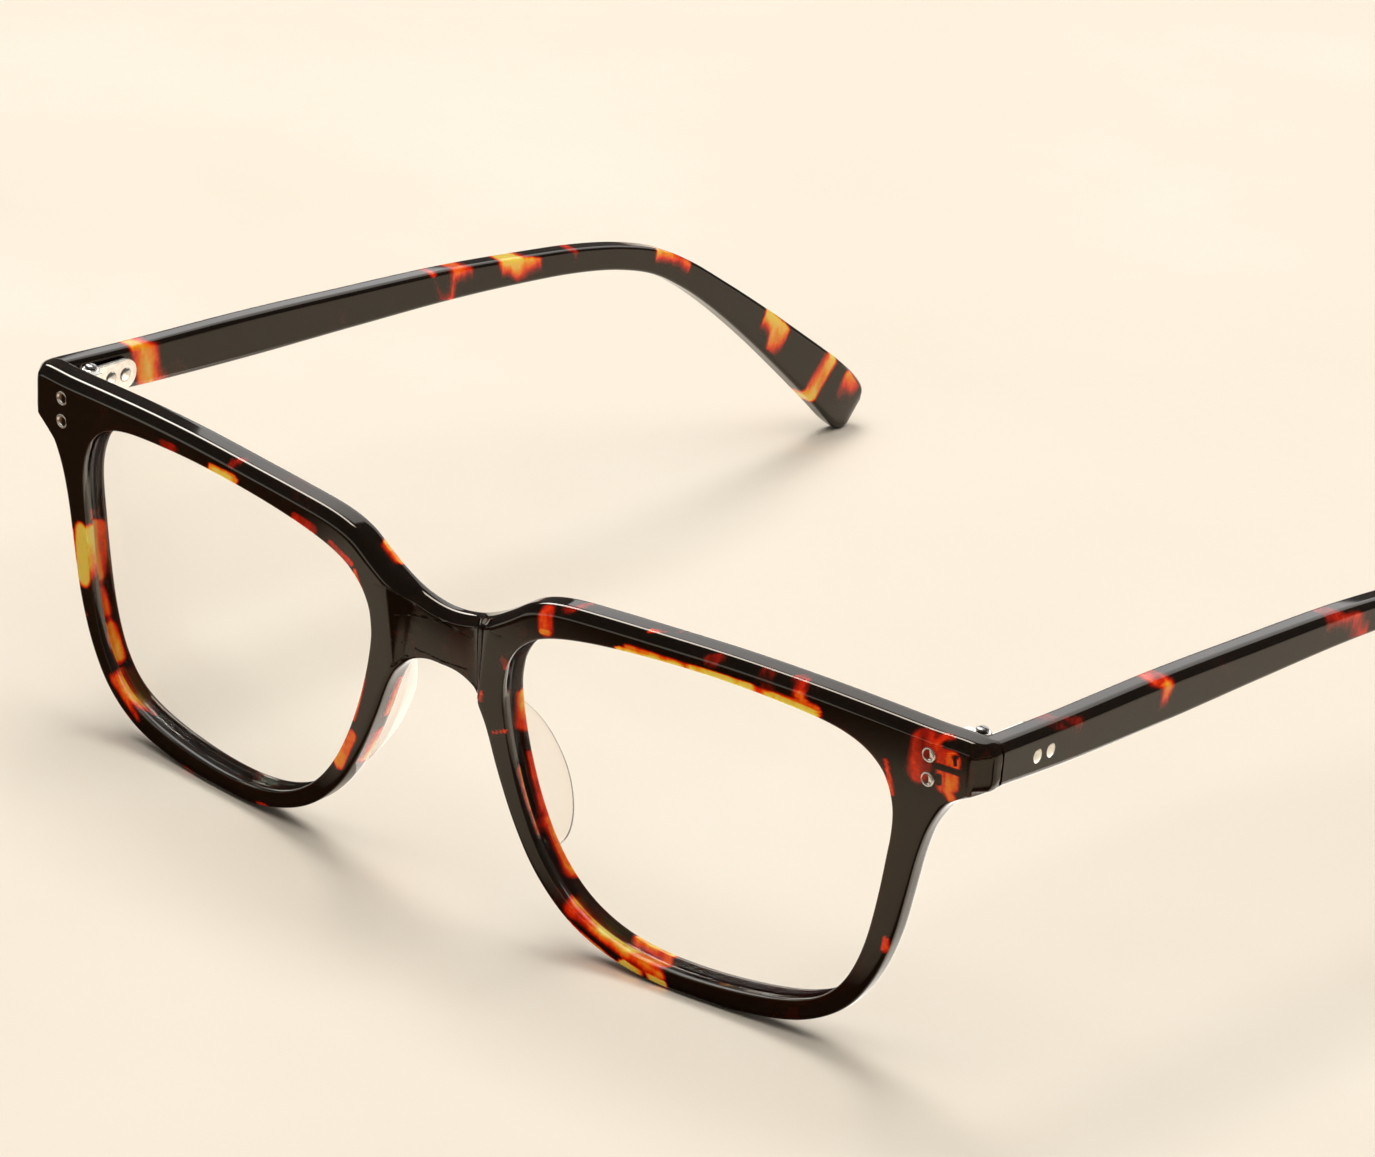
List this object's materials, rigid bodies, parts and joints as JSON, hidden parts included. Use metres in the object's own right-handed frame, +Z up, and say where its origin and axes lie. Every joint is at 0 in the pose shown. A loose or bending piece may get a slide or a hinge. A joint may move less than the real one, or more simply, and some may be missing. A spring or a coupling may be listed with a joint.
{
  "type": "eyeglasses",
  "caption": "Full-rim squarish tortoiseshell acetate eyeglasses with clear lenses, fin nose pads and folding temples on riveted hinges.",
  "frame": {"origin": "centre of the bounding box in plan, on the surface the open pair stands on", "axes": "+X to the wearer's left, +Y from the front back along the temples, +Z up; the front faces -Y"},
  "size_m": [0.1436, 0.1574, 0.0428],
  "materials": {
    "tortoiseshell_acetate": "polished, dark brown with amber and red translucent patches",
    "clear_acetate": "polished, clear with a faint pink tint",
    "clear_lens": "clear, coated",
    "nickel_silver": "polished nickel silver",
    "steel": "plain steel"
  },
  "bodies": {
    "front": {"frame_front": "tortoiseshell_acetate", "lens_left": "clear_lens", "nose_pad_left": "clear_acetate", "front_hinge_leaf_left": "nickel_silver", "hinge_screw_left": "steel", "front_rivet_left_upper": "nickel_silver", "front_rivet_left_lower": "nickel_silver", "lens_right": "clear_lens", "nose_pad_right": "clear_acetate", "front_hinge_leaf_right": "nickel_silver", "hinge_screw_right": "steel", "front_rivet_right_upper": "nickel_silver", "front_rivet_right_lower": "nickel_silver"},
    "left_temple": {"temple_left": "tortoiseshell_acetate", "temple_hinge_leaf_left": "nickel_silver", "core_wire_left": "steel", "temple_rivet_left_front": "nickel_silver", "temple_rivet_left_rear": "nickel_silver"},
    "right_temple": {"temple_right": "tortoiseshell_acetate", "temple_hinge_leaf_right": "nickel_silver", "core_wire_right": "steel", "temple_rivet_right_front": "nickel_silver", "temple_rivet_right_rear": "nickel_silver"}
  },
  "joints": [
    {"name": "left_temple_fold", "type": "hinge", "parent": "front", "child": "left_temple", "pos_m": [0.0669, -0.0659, 0.03803], "axis": [0, 0, 1], "range_deg": [0, 88]},
    {"name": "right_temple_fold", "type": "hinge", "parent": "front", "child": "right_temple", "pos_m": [-0.0669, -0.0659, 0.03803], "axis": [0, 0, -1], "range_deg": [0, 81]}
  ]
}
